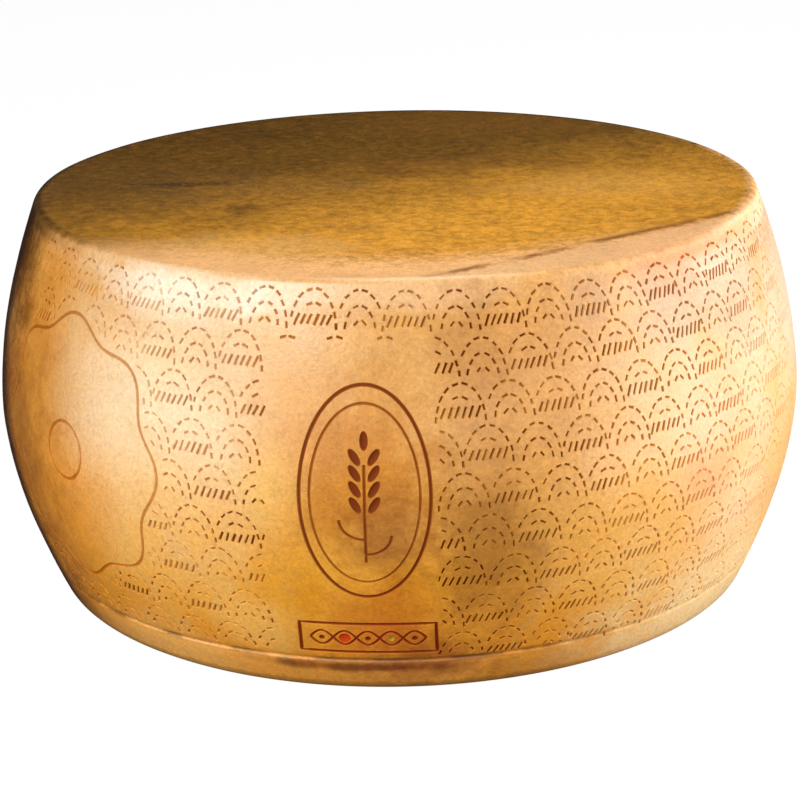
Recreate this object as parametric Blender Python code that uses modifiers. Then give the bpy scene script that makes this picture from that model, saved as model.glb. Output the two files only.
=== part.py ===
"""A whole wheel of aged hard cheese, resting on one flat face.

Metres, +Z up. The origin is the centre of the face that the wheel rests on, and -Y is the front, where its seal is.
The body is a turned barrel that a slow unevenness and one flattened stretch of its top rim pull out of true.
The seal, the date frame, the side medallion and the lower mould line are grooves pressed into the rind.
"""

import math

import bmesh
import bpy
from mathutils import Matrix, Vector

# The barrel, measured without its unevenness
WHEEL_HEIGHT = 0.213
BELLY_RADIUS = 0.220
BELLY_HEIGHT = 0.103
TOP_CORNER_RADIUS = 0.1955
BOTTOM_CORNER_RADIUS = 0.1915
BULGE_POWER = 1.76
TOP_ROUNDING = 0.0045
BOTTOM_ROUNDING = 0.0065
TURNED_STEPS = 96
SIDE_RINGS = 17
ROUNDING_RINGS = 4
FACE_RING_RADII = (0.175, 0.135, 0.090, 0.045)

# The line that the lower edge of the mould band leaves round the side
MOULD_LINE_HEIGHT = 0.0195
MOULD_LINE_DEPTH = 0.0012
MOULD_LINE_HALF_WIDTH = 0.0019

# How far the wheel is out of true: even waves round the side, and a sunken top face
OVAL_WAVE = 0.0008
FOUR_SIDED_WAVE = 0.0005
FOUR_SIDED_TURN = 0.7
TOP_SAG = 0.0014

# The flattened stretch of the top rim: a straight crease across the top face, past which the rind falls away
FLAT_AZIMUTH = math.radians(35.5)
FLAT_CREASE_DISTANCE = 0.169
FLAT_SLOPE = math.tan(math.radians(6.5))
FLAT_FADE_DEPTH = 0.060

# The seal at the front: an upright oval with an ear of grain in it
SEAL_AZIMUTH = math.radians(-4.6)
SEAL_HEIGHT = 0.1125
SEAL_HALF_WIDTH = 0.0315
SEAL_HALF_HEIGHT = 0.0535
SEAL_INNER_SHARE = 0.84
SEAL_LINE_RADIUS = 0.0012
SEAL_INNER_LINE_RADIUS = 0.0008
EAR_STEM_FOOT = -0.0340
EAR_STEM_TOP = 0.0160
EAR_STEM_RADIUS = 0.0010
EAR_GRAIN_PAIRS = 4
EAR_FIRST_PAIR = -0.0040
EAR_PAIR_SPACING = 0.0078
EAR_GRAIN_OFFSET = 0.0046
EAR_GRAIN_LEAN = math.radians(32)
EAR_GRAIN_SIZE = (0.0021, 0.0049, 0.0015)
EAR_LEAF_FOOTS = (-0.0300, -0.0220)
EAR_LEAF_REACH = 0.0125
EAR_LEAF_RISE = 0.0105

# The date frame under the seal, with a two-stranded twist in place of a date
FRAME_AZIMUTH = math.radians(-5.0)
FRAME_HEIGHT = 0.0335
FRAME_HALF_WIDTH = 0.0335
FRAME_HALF_HEIGHT = 0.0088
FRAME_LINE_RADIUS = 0.0011
TWIST_HALF_LENGTH = 0.0285
TWIST_HALF_HEIGHT = 0.0042
TWIST_EYES = 5
TWIST_LINE_RADIUS = 0.0009
TWIST_EYE_RADIUS = 0.0016

# The medallion at the side: a large eight-lobed outline round a small ring
MEDALLION_AZIMUTH = math.radians(-51)
MEDALLION_HEIGHT = 0.111
MEDALLION_RADIUS = 0.0660
MEDALLION_LOBES = 8
MEDALLION_LOBE_DEPTH = 0.055
MEDALLION_LINE_RADIUS = 0.0010
MEDALLION_RING_RADIUS = 0.0150

GROOVE_SIDES = 1


def barrel_radius(height):
    """Radius of the true barrel at a height, before its corners are rounded."""
    if height > BELLY_HEIGHT:
        corner = TOP_CORNER_RADIUS
        share = (height - BELLY_HEIGHT) / (WHEEL_HEIGHT - BELLY_HEIGHT)
    else:
        corner = BOTTOM_CORNER_RADIUS
        share = (BELLY_HEIGHT - height) / BELLY_HEIGHT
    return BELLY_RADIUS - (BELLY_RADIUS - corner) * share**BULGE_POWER


def out_of_true(point):
    """Moves a point of the true barrel to where the uneven wheel has it."""
    azimuth = math.atan2(point.x, -point.y)
    reach = math.hypot(point.x, point.y)
    wave = OVAL_WAVE * math.cos(2 * azimuth) + FOUR_SIDED_WAVE * math.cos(4 * azimuth + FOUR_SIDED_TURN)
    moved = point * (1 + wave / BELLY_RADIUS)
    moved.z = point.z
    top_share = max(0.0, 1 - (WHEEL_HEIGHT - point.z) / TOP_ROUNDING)
    moved.z -= TOP_SAG * top_share * max(0.0, 1 - (reach / TOP_CORNER_RADIUS) ** 2)
    past_crease = reach * math.cos(azimuth - FLAT_AZIMUTH) - FLAT_CREASE_DISTANCE
    fade = max(0.0, 1 - (WHEEL_HEIGHT - point.z) / FLAT_FADE_DEPTH)
    moved.z -= FLAT_SLOPE * max(0.0, past_crease) * fade
    return moved


def side_point(azimuth, height, proud=0.0):
    """A point on the side of the uneven wheel, or proud of it."""
    reach = barrel_radius(height) + proud
    return out_of_true(Vector((reach * math.sin(azimuth), -reach * math.cos(azimuth), height)))


def side_frame(azimuth, height):
    """A matrix at a point of the side: X runs across to the right, Y up along the side and Z out of it."""
    step = 0.001
    across = (side_point(azimuth + step, height) - side_point(azimuth - step, height)).normalized()
    up = (side_point(azimuth, height + step) - side_point(azimuth, height - step)).normalized()
    out = across.cross(up).normalized()
    turned = Matrix((across, out.cross(across), out)).transposed().to_4x4()
    return Matrix.Translation(side_point(azimuth, height)) @ turned


def marked(azimuth, height, across, up):
    """Azimuth and height of a mark's point, from the middle of the mark and the lengths along the rind."""
    own_height = height + up
    return azimuth + across / barrel_radius(own_height), own_height


def clear_scene():
    for obj in list(bpy.data.objects):
        bpy.data.objects.remove(obj, do_unlink=True)


def new_collection(name):
    made = bpy.data.collections.new(name)
    bpy.context.scene.collection.children.link(made)
    return made


def rounded_corner(before, corner, after, radius, rings):
    """Points of the arc that rounds a corner of the profile, from the side of before to the side of after."""
    to_before = (before - corner).normalized()
    to_after = (after - corner).normalized()
    half_angle = to_before.angle(to_after) / 2
    middle = corner + (to_before + to_after).normalized() * (radius / math.sin(half_angle))
    start = corner + to_before * (radius / math.tan(half_angle)) - middle
    end = corner + to_after * (radius / math.tan(half_angle)) - middle
    directions = [start.slerp(end, i / rings) for i in range(rings + 1)]
    return [middle + direction * radius for direction in directions]


def mould_line(height):
    """Depth of the mould line at a height: a shallow V."""
    share = abs(height - MOULD_LINE_HEIGHT) / MOULD_LINE_HALF_WIDTH
    return MOULD_LINE_DEPTH * max(0.0, 1 - share)


def profile_points():
    """The half section in the XZ plane, from the middle of the top face down the outer side to the bottom."""
    top_corner = Vector((TOP_CORNER_RADIUS, 0, WHEEL_HEIGHT))
    bottom_corner = Vector((BOTTOM_CORNER_RADIUS, 0, 0))
    step = 0.004
    under_top = Vector((barrel_radius(WHEEL_HEIGHT - step), 0, WHEEL_HEIGHT - step))
    over_bottom = Vector((barrel_radius(step), 0, step))
    top_axis, bottom_axis = Vector((0, 0, WHEEL_HEIGHT)), Vector((0, 0, 0))
    top_arc = rounded_corner(top_axis, top_corner, under_top, TOP_ROUNDING, ROUNDING_RINGS)
    bottom_arc = rounded_corner(over_bottom, bottom_corner, bottom_axis, BOTTOM_ROUNDING, ROUNDING_RINGS)
    high, low = top_arc[-1].z, bottom_arc[0].z
    heights = [high + (low - high) * i / SIDE_RINGS for i in range(1, SIDE_RINGS)]
    clear = 1.5 * MOULD_LINE_HALF_WIDTH
    heights = [h for h in heights if abs(h - MOULD_LINE_HEIGHT) > clear]
    heights += [MOULD_LINE_HEIGHT + MOULD_LINE_HALF_WIDTH * side for side in (1, 0, -1)]
    side = [Vector((barrel_radius(h) - mould_line(h), 0, h)) for h in sorted(heights, reverse=True)]
    top_face = [Vector((r, 0, WHEEL_HEIGHT)) for r in reversed(FACE_RING_RADII)]
    bottom_face = [Vector((r, 0, 0)) for r in FACE_RING_RADII]
    return [top_axis, *top_face, *top_arc, *side, *bottom_arc, *bottom_face, bottom_axis]


def turned_barrel(collection):
    """The true barrel as a mesh, from its profile and a Screw modifier."""
    points = profile_points()
    mesh = bpy.data.meshes.new("barrel_profile")
    mesh.from_pydata(points, [(i, i + 1) for i in range(len(points) - 1)], [])
    profile = bpy.data.objects.new("barrel_profile", mesh)
    collection.objects.link(profile)
    screw = profile.modifiers.new("Turn", "SCREW")
    screw.steps = screw.render_steps = TURNED_STEPS
    screw.use_merge_vertices = True
    screw.merge_threshold = 0.0001
    bpy.context.view_layer.update()
    evaluated = profile.evaluated_get(bpy.context.evaluated_depsgraph_get())
    turned = bpy.data.meshes.new_from_object(evaluated)
    bpy.data.objects.remove(profile)
    return turned


def make_wheel(collection):
    """The wheel's body: the turned barrel, creased where the rim is flattened and then set out of true."""
    mesh = turned_barrel(collection)
    mesh.name = "wheel"
    shaped = bmesh.new()
    shaped.from_mesh(mesh)
    crease_normal = Vector((math.sin(FLAT_AZIMUTH), -math.cos(FLAT_AZIMUTH), 0))
    top_faces = [f for f in shaped.faces if f.calc_center_median().z > WHEEL_HEIGHT - TOP_ROUNDING]
    top_edges = {e for f in top_faces for e in f.edges}
    top_points = {v for f in top_faces for v in f.verts}
    bmesh.ops.bisect_plane(
        shaped,
        geom=[*top_faces, *top_edges, *top_points],
        plane_co=crease_normal * FLAT_CREASE_DISTANCE,
        plane_no=crease_normal,
    )
    for point in shaped.verts:
        point.co = out_of_true(point.co)
    bmesh.ops.recalc_face_normals(shaped, faces=shaped.faces)
    shaped.to_mesh(mesh)
    shaped.free()
    wheel = bpy.data.objects.new("wheel", mesh)
    collection.objects.link(wheel)
    return wheel


def groove_cutter(name, marks, radius, closed, collection):
    """A round cutter swept along marks on the side, given as azimuths and heights."""
    curve = bpy.data.curves.new(name, "CURVE")
    curve.dimensions = "3D"
    curve.bevel_depth = radius
    curve.bevel_resolution = GROOVE_SIDES
    curve.use_fill_caps = not closed
    spline = curve.splines.new("POLY")
    spline.points.add(len(marks) - 1)
    for place, (azimuth, height) in zip(spline.points, marks):
        place.co = (*side_point(azimuth, height), 1)
    spline.use_cyclic_u = closed
    path = bpy.data.objects.new(name + "_path", curve)
    collection.objects.link(path)
    bpy.context.view_layer.update()
    evaluated = path.evaluated_get(bpy.context.evaluated_depsgraph_get())
    mesh = bpy.data.meshes.new_from_object(evaluated)
    joined = bmesh.new()
    joined.from_mesh(mesh)
    bmesh.ops.remove_doubles(joined, verts=joined.verts, dist=0.00001)
    bmesh.ops.recalc_face_normals(joined, faces=joined.faces)
    joined.to_mesh(mesh)
    joined.free()
    cutter = bpy.data.objects.new(name, mesh)
    cutter.matrix_world = path.matrix_world
    collection.objects.link(cutter)
    bpy.data.objects.remove(path)
    return cutter


def grain_cutter(name, azimuth, height, lean, size, collection):
    """A grain-shaped cutter: a ball pulled to size, leaning in the plane of the rind."""
    ball = bmesh.new()
    bmesh.ops.create_uvsphere(ball, u_segments=10, v_segments=6, radius=1.0)
    mesh = bpy.data.meshes.new(name)
    ball.to_mesh(mesh)
    ball.free()
    shape = Matrix.Rotation(lean, 4, "Z") @ Matrix.Diagonal((*size, 1))
    mesh.transform(side_frame(azimuth, height) @ shape @ Matrix.Rotation(math.pi / 2, 4, "X"))
    cutter = bpy.data.objects.new(name, mesh)
    collection.objects.link(cutter)
    return cutter


def around(count):
    return [2 * math.pi * i / count for i in range(count)]


def cut_seal(collection):
    """Two oval lines and, inside them, an ear of grain with its stem and leaves."""
    lines = ((1.0, SEAL_LINE_RADIUS), (SEAL_INNER_SHARE, SEAL_INNER_LINE_RADIUS))
    for number, (share, radius) in enumerate(lines):
        half_width, half_height = SEAL_HALF_WIDTH * share, SEAL_HALF_HEIGHT * share
        oval = [(half_width * math.sin(a), half_height * math.cos(a)) for a in around(48)]
        marks = [marked(SEAL_AZIMUTH, SEAL_HEIGHT, *place) for place in oval]
        groove_cutter(f"seal_line_{number}", marks, radius, True, collection)
    rise = EAR_STEM_TOP - EAR_STEM_FOOT
    stem = [(0, EAR_STEM_FOOT + rise * i / 8) for i in range(9)]
    marks = [marked(SEAL_AZIMUTH, SEAL_HEIGHT, *place) for place in stem]
    groove_cutter("ear_stem", marks, EAR_STEM_RADIUS, False, collection)
    top_grain = EAR_FIRST_PAIR + EAR_PAIR_SPACING * EAR_GRAIN_PAIRS
    grains = [(0, top_grain, 0)]
    for pair in range(EAR_GRAIN_PAIRS):
        up = EAR_FIRST_PAIR + EAR_PAIR_SPACING * pair
        grains += [(side * EAR_GRAIN_OFFSET, up, -side * EAR_GRAIN_LEAN) for side in (-1, 1)]
    for number, (across, up, lean) in enumerate(grains):
        place = marked(SEAL_AZIMUTH, SEAL_HEIGHT, across, up)
        grain_cutter(f"ear_grain_{number}", *place, lean, EAR_GRAIN_SIZE, collection)
    for number, foot in enumerate(EAR_LEAF_FOOTS):
        side = -1 if number % 2 else 1
        leaf = []
        for i in range(9):
            bend = math.pi / 2 * i / 8
            leaf.append((side * EAR_LEAF_REACH * math.sin(bend), foot + EAR_LEAF_RISE * (1 - math.cos(bend))))
        marks = [marked(SEAL_AZIMUTH, SEAL_HEIGHT, *place) for place in leaf]
        groove_cutter(f"ear_leaf_{number}", marks, EAR_STEM_RADIUS, False, collection)


def cut_frame(collection):
    """The rectangular date frame, holding a twist of two strands with a round eye in each loop."""
    w, h = FRAME_HALF_WIDTH, FRAME_HALF_HEIGHT
    corners = [(-w, -h), (w, -h), (w, h), (-w, h), (-w, -h)]
    outline = []
    for (x0, y0), (x1, y1) in zip(corners, corners[1:]):
        outline += [(x0 + (x1 - x0) * i / 8, y0 + (y1 - y0) * i / 8) for i in range(8)]
    marks = [marked(FRAME_AZIMUTH, FRAME_HEIGHT, *place) for place in outline]
    groove_cutter("frame_line", marks, FRAME_LINE_RADIUS, True, collection)
    points = 8 * TWIST_EYES
    for strand, side in enumerate((-1, 1)):
        wave = []
        for i in range(points + 1):
            share = i / points
            up = side * TWIST_HALF_HEIGHT * math.sin(math.pi * TWIST_EYES * share)
            wave.append((TWIST_HALF_LENGTH * (2 * share - 1), up))
        marks = [marked(FRAME_AZIMUTH, FRAME_HEIGHT, *place) for place in wave]
        groove_cutter(f"twist_strand_{strand}", marks, TWIST_LINE_RADIUS, False, collection)
    eye = (TWIST_EYE_RADIUS, TWIST_EYE_RADIUS, TWIST_EYE_RADIUS * 0.7)
    for number in range(TWIST_EYES):
        across = TWIST_HALF_LENGTH * ((2 * number + 1) / TWIST_EYES - 1)
        place = marked(FRAME_AZIMUTH, FRAME_HEIGHT, across, 0)
        grain_cutter(f"twist_eye_{number}", *place, 0, eye, collection)


def cut_medallion(collection):
    """The eight-lobed outline at the side, and the ring in its middle."""
    lobed = []
    for a in around(80):
        reach = MEDALLION_RADIUS * (1 + MEDALLION_LOBE_DEPTH * math.cos(MEDALLION_LOBES * a))
        lobed.append((reach * math.sin(a), reach * math.cos(a)))
    ring = [(MEDALLION_RING_RADIUS * math.sin(a), MEDALLION_RING_RADIUS * math.cos(a)) for a in around(24)]
    for name, outline in (("medallion_line", lobed), ("medallion_ring", ring)):
        marks = [marked(MEDALLION_AZIMUTH, MEDALLION_HEIGHT, *place) for place in outline]
        groove_cutter(name, marks, MEDALLION_LINE_RADIUS, True, collection)


def press_marks(wheel, cutters):
    """Cuts every mark in the rind, one after another."""
    for cutter in cutters.objects:
        cutter.hide_render = True
        cutter.display_type = "WIRE"
        cut = wheel.modifiers.new(cutter.name, "BOOLEAN")
        cut.operation = "DIFFERENCE"
        cut.solver = "EXACT"
        cut.object = cutter


def rind_material():
    material = bpy.data.materials.new("rind")
    material.use_nodes = True
    shader = material.node_tree.nodes["Principled BSDF"]
    shader.inputs["Base Color"].default_value = (0.72, 0.40, 0.12, 1)
    shader.inputs["Roughness"].default_value = 0.48
    shader.inputs["Metallic"].default_value = 0.0
    return material


def main():
    clear_scene()
    parts = new_collection("cheese_wheel")
    cutters = new_collection("cutters")
    cutters.hide_render = True
    wheel = make_wheel(parts)
    wheel.data.materials.append(rind_material())
    cut_seal(cutters)
    cut_frame(cutters)
    cut_medallion(cutters)
    press_marks(wheel, cutters)
    wheel.data.shade_smooth()
    wheel.data.set_sharp_from_angle(angle=math.radians(35))


main()
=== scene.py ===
import math
import random

import bpy
import numpy as np
from mathutils import Matrix, Vector, kdtree, noise
from mathutils.bvhtree import BVHTree


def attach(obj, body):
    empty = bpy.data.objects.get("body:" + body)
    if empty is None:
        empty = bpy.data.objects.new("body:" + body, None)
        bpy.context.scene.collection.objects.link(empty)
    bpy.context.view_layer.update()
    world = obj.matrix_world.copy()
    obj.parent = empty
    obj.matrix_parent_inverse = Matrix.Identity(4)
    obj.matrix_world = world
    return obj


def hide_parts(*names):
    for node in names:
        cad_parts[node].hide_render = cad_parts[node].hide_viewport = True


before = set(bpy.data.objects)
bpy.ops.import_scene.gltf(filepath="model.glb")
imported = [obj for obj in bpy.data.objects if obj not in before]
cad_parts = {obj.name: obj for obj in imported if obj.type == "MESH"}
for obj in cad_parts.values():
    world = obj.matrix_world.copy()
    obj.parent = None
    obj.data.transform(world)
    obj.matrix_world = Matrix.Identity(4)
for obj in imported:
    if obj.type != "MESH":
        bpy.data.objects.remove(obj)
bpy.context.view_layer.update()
print("frame loaded:", sorted(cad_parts))

hair = 0.00001  # metres: nearer than this is the same place

# the barrel, in metres, as the model has it
barrel = {
    "height": 0.213,
    "bellyRadius": 0.220,
    "bellyHeight": 0.103,
    "topCorner": 0.1955,
    "bottomCorner": 0.1915,
    "bulge": 1.76,
    "topRounding": 0.0045,
    "bottomRounding": 0.0065,
    "ovalWave": 0.0008,
    "fourSidedWave": 0.0005,
    "fourSidedTurn": 0.7,
    "topSag": 0.0014,
}

# the flattened stretch of the top rim: past a straight crease the rind falls away
flatRim = {
    "azimuth": math.radians(35.5),
    "crease": 0.169,
    "slope": math.tan(math.radians(6.5)),
    "fadeDepth": 0.060,
    "softness": 0.0022,
    "cuts": (-0.003, -0.001, 0.001, 0.003),  # the blank's own edges along it
}

# the line that the lower edge of the mould band leaves, and where it is faint
mouldLine = {
    "height": 0.0195,
    "depth": 0.0012,
    "halfWidth": 0.0019,
    "faintAt": math.radians(78),
    "faintHalf": math.radians(54),
    "faintShare": 0.80,
}

# the blank that the marks are pressed into, and the soft dents all over it
blankMesh = {
    "segments": 208,
    "sideRings": 30,
    "roundingRings": 5,
    "lineRings": 4,
    "lineClear": 1.4,  # half widths of the mould line that the even rings keep off
    "slopeStep": 0.004,  # how far from a corner the profile's slope is taken
    "gridSpan": 52,
    "dents": ((0.055, 0.00045), (0.017, 0.00012)),  # how wide and how deep
    "footClear": 0.012,  # no dents below this height
    "rimClear": 0.004,  # nearer the rim than this, dents go outwards and not up
    "smoothAngle": math.radians(38),
}


def barrelRadius(height):
    if height > barrel["bellyHeight"]:
        corner = barrel["topCorner"]
        share = (height - barrel["bellyHeight"]) / (barrel["height"] - barrel["bellyHeight"])
    else:
        corner = barrel["bottomCorner"]
        share = (barrel["bellyHeight"] - height) / barrel["bellyHeight"]
    return barrel["bellyRadius"] - (barrel["bellyRadius"] - corner) * max(share, 0) ** barrel["bulge"]


def faintness(azimuth):  # 1 where the mould line has almost gone, and 0 where it is whole
    turn = (azimuth - mouldLine["faintAt"] + math.pi) % (2 * math.pi) - math.pi
    return math.exp(-((turn / mouldLine["faintHalf"]) ** 4))


def settled(point):  # a point of the true barrel, moved to where the uneven wheel has it
    azimuth = math.atan2(point.x, -point.y)
    reach = math.hypot(point.x, point.y)
    wave = barrel["ovalWave"] * math.cos(2 * azimuth)
    wave += barrel["fourSidedWave"] * math.cos(4 * azimuth + barrel["fourSidedTurn"])
    off = abs(point.z - mouldLine["height"]) / mouldLine["halfWidth"]
    if off < 1 and reach > barrel["bottomCorner"]:
        whole = 1 - mouldLine["faintShare"] * faintness(azimuth)
        wave -= mouldLine["depth"] * whole * (1 + math.cos(math.pi * off)) / 2
    moved = point * (1 + wave / barrel["bellyRadius"])
    below = barrel["height"] - point.z
    topShare = max(0, 1 - below / barrel["topRounding"])
    moved.z = point.z - barrel["topSag"] * topShare * max(0, 1 - (reach / barrel["topCorner"]) ** 2)
    past = reach * math.cos(azimuth - flatRim["azimuth"]) - flatRim["crease"]
    soft = flatRim["softness"]
    fallen = soft * math.log1p(math.exp(min(past / soft, 50)))  # a soft turn, and 50 keeps it in bounds
    moved.z -= flatRim["slope"] * fallen * max(0, 1 - below / flatRim["fadeDepth"])
    return moved


def dented(point):  # with the soft dents of the rind, square to its surface
    lift = min(1, max(0, point.z / blankMesh["footClear"] - 1))
    depth = 0
    for width, strength in blankMesh["dents"]:
        depth += strength * noise.noise(point / width)
    out = Vector((point.x, point.y, 0)).normalized()
    high = point.z > barrel["height"] - blankMesh["rimClear"]
    inside = math.hypot(point.x, point.y) < barrel["topCorner"] - blankMesh["rimClear"]
    return point + (Vector((0, 0, 1)) if high and inside else out) * (depth * lift)


def sidePoint(azimuth, height, proud=0):
    reach = barrelRadius(height) + proud
    return dented(settled(Vector((reach * math.sin(azimuth), -reach * math.cos(azimuth), height))))


def sideFrame(azimuth, height):  # X runs across to the right, Y up along the side and Z out of it
    step = 0.001  # in radians across and in metres up
    across = (sidePoint(azimuth + step, height) - sidePoint(azimuth - step, height)).normalized()
    up = (sidePoint(azimuth, height + step) - sidePoint(azimuth, height - step)).normalized()
    out = across.cross(up).normalized()
    turned = Matrix((across, out.cross(across), out)).transposed().to_4x4()
    return Matrix.Translation(sidePoint(azimuth, height)) @ turned


def chooseOnly(piece):
    bpy.ops.object.select_all(action="DESELECT")
    piece.select_set(True)
    bpy.context.view_layer.objects.active = piece


def roundedCorner(before, corner, after, radius, rings):  # the arc that rounds one corner of the profile
    toBefore = (before - corner).normalized()
    toAfter = (after - corner).normalized()
    half = toBefore.angle(toAfter) / 2
    middle = corner + (toBefore + toAfter).normalized() * (radius / math.sin(half))
    start = corner + toBefore * (radius / math.tan(half)) - middle
    end = corner + toAfter * (radius / math.tan(half)) - middle
    return [middle + start.slerp(end, i / rings) * radius for i in range(rings + 1)]


def blankRings():  # radius and height of every ring, from the rim of the top face down to the bottom face
    step = blankMesh["slopeStep"]
    high, low = Vector((barrel["topCorner"], barrel["height"])), Vector((barrel["bottomCorner"], 0))
    underTop = Vector((barrelRadius(high.y - step), high.y - step))
    overBottom = Vector((barrelRadius(step), step))
    count = blankMesh["roundingRings"]
    topArc = roundedCorner(Vector((0, high.y)), high, underTop, barrel["topRounding"], count)
    bottomArc = roundedCorner(overBottom, low, Vector((0, 0)), barrel["bottomRounding"], count)
    span = topArc[-1].y - bottomArc[0].y
    heights = [topArc[-1].y - span * i / blankMesh["sideRings"] for i in range(1, blankMesh["sideRings"])]
    wide = mouldLine["halfWidth"]
    heights = [h for h in heights if abs(h - mouldLine["height"]) > blankMesh["lineClear"] * wide]
    for i in range(-blankMesh["lineRings"], blankMesh["lineRings"] + 1):
        heights.append(mouldLine["height"] + wide * i / blankMesh["lineRings"])
    return topArc + [Vector((barrelRadius(h), h)) for h in sorted(heights, reverse=True)] + bottomArc


def turnBlank():
    rings = blankRings()
    top = rings[0]
    bpy.ops.object.select_all(action="DESELECT")
    bpy.ops.mesh.primitive_circle_add(vertices=blankMesh["segments"], radius=top.x, location=(0, 0, top.y))
    blank = bpy.context.object
    blank.name = blank.data.name = "wheelRind"
    bpy.ops.object.transform_apply(location=True)
    bpy.ops.object.mode_set(mode="EDIT")
    bpy.ops.mesh.select_all(action="SELECT")
    for last, ring in zip(rings, rings[1:]):
        bpy.ops.mesh.extrude_edges_move(TRANSFORM_OT_translate={"value": (0, 0, ring.y - last.y)})
        grow = ring.x / last.x
        bpy.ops.transform.resize(value=(grow, grow, 1), center_override=(0, 0, ring.y))
    bpy.ops.mesh.edge_face_add()
    bpy.ops.mesh.select_all(action="DESELECT")
    bpy.ops.object.mode_set(mode="OBJECT")
    for rimEdge in blank.data.edges:
        rimEdge.select = all(blank.data.vertices[v].co.z > top.y - hair for v in rimEdge.vertices)
    bpy.ops.object.mode_set(mode="EDIT")
    bpy.ops.mesh.select_mode(type="EDGE")
    bpy.ops.mesh.fill_grid(span=blankMesh["gridSpan"])
    for shift in flatRim["cuts"]:
        selectTop(blank)
        away = Vector((math.sin(flatRim["azimuth"]), -math.cos(flatRim["azimuth"]), 0))
        bpy.ops.mesh.bisect(plane_co=away * (flatRim["crease"] + shift), plane_no=away)
    bpy.ops.mesh.select_all(action="SELECT")
    bpy.ops.mesh.normals_make_consistent(inside=False)
    bpy.ops.object.mode_set(mode="OBJECT")
    for vertex in blank.data.vertices:
        vertex.co = dented(settled(vertex.co))
    print("blank turned:", len(blank.data.polygons), "faces")
    return blank


def selectTop(blank):  # the top face and its rounded rim, with the blank left in edit mode
    bpy.ops.object.mode_set(mode="OBJECT")
    lowest = barrel["height"] - barrel["topRounding"]
    for face in blank.data.polygons:
        face.select = face.center.z > lowest
    bpy.ops.object.mode_set(mode="EDIT")
    bpy.ops.mesh.select_mode(type="FACE")


# the marks: every cutter is a line or a grain laid on the rind, and its kind decides its colour
markPaths = {"seal": [], "frame": [], "medallion": [], "redSpot": [], "goldSpot": []}

lineCutter = {
    "bevelSides": 3,
    "lift": 0.35,  # how far out of the rind its middle lies, as a share of its radius
    "spots": 4,  # places kept for its colour in each step
}

grainCutter = {
    "segments": 16,
    "rings": 10,
    "spots": (-0.7, -0.35, 0, 0.35, 0.7),  # places kept for its colour, as shares of its half length
}


def around(count):
    return [2 * math.pi * i / count for i in range(count)]


def onMark(look, across, up):  # azimuth and height of a mark's own point
    height = look["height"] + up
    return look["azimuth"] + across / barrelRadius(height), height


def sweepLine(kind, look, places, radius, closed=False):  # a round cutter along places on the rind
    spots = [onMark(look, *place) for place in places]
    points = [sidePoint(*spot, lineCutter["lift"] * radius) for spot in spots]
    curve = bpy.data.curves.new(kind, "CURVE")
    curve.dimensions = "3D"
    curve.bevel_depth = radius
    curve.bevel_resolution = lineCutter["bevelSides"]
    curve.use_fill_caps = not closed
    spline = curve.splines.new("POLY")
    spline.points.add(len(points) - 1)
    for end, point in zip(spline.points, points):
        end.co = (*point, 1)
    spline.use_cyclic_u = closed
    cutter = bpy.data.objects.new(kind + "Line", curve)
    bpy.context.scene.collection.objects.link(cutter)
    chooseOnly(cutter)
    bpy.ops.object.convert(target="MESH")
    bpy.ops.object.mode_set(mode="EDIT")
    bpy.ops.mesh.select_all(action="SELECT")
    bpy.ops.mesh.remove_doubles(threshold=hair)
    bpy.ops.mesh.normals_make_consistent(inside=False)
    bpy.ops.object.mode_set(mode="OBJECT")
    ends = points + points[:1] if closed else points
    count = lineCutter["spots"]
    for a, b in zip(ends, ends[1:]):
        markPaths[kind] += [(a.lerp(b, i / count), radius) for i in range(count)]
    return cutter


def layGrain(kind, look, across, up, lean, size):  # a grain-shaped cutter, leaning in the rind's plane
    bpy.ops.object.select_all(action="DESELECT")
    bpy.ops.mesh.primitive_uv_sphere_add(
        segments=grainCutter["segments"], ring_count=grainCutter["rings"], radius=1)
    cutter = bpy.context.object
    cutter.name = kind + "Grain"
    place = sideFrame(*onMark(look, across, up))
    shape = Matrix.Rotation(lean, 4, "Z") @ Matrix.Diagonal((*size, 1)) @ Matrix.Rotation(math.pi / 2, 4, "X")
    cutter.data.transform(place @ shape)
    for share in grainCutter["spots"]:
        spot = place @ Matrix.Rotation(lean, 4, "Z") @ Vector((0, share * size[1], 0))
        markPaths[kind].append((spot, size[0]))
    return cutter


# the seal: two oval lines round an ear of grain, with its stem and two leaves
seal = {
    "azimuth": math.radians(-4.6),
    "height": 0.1125,
    "halfWidth": 0.0315,
    "halfHeight": 0.0535,
    "innerShare": 0.84,
    "line": 0.0012,
    "innerLine": 0.0009,
    "stemFoot": -0.0340,
    "stemTop": 0.0160,
    "stem": 0.0010,
    "pairs": 4,
    "firstPair": -0.0040,
    "pairStep": 0.0078,
    "grainOffset": 0.0046,
    "grainLean": math.radians(32),
    "grain": (0.0021, 0.0049, 0.0013),
    "leafFeet": (-0.0300, -0.0220),
    "leafReach": 0.0125,
    "leafRise": 0.0105,
    "ovalSteps": 96,
    "lineSteps": 12,
}


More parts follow.
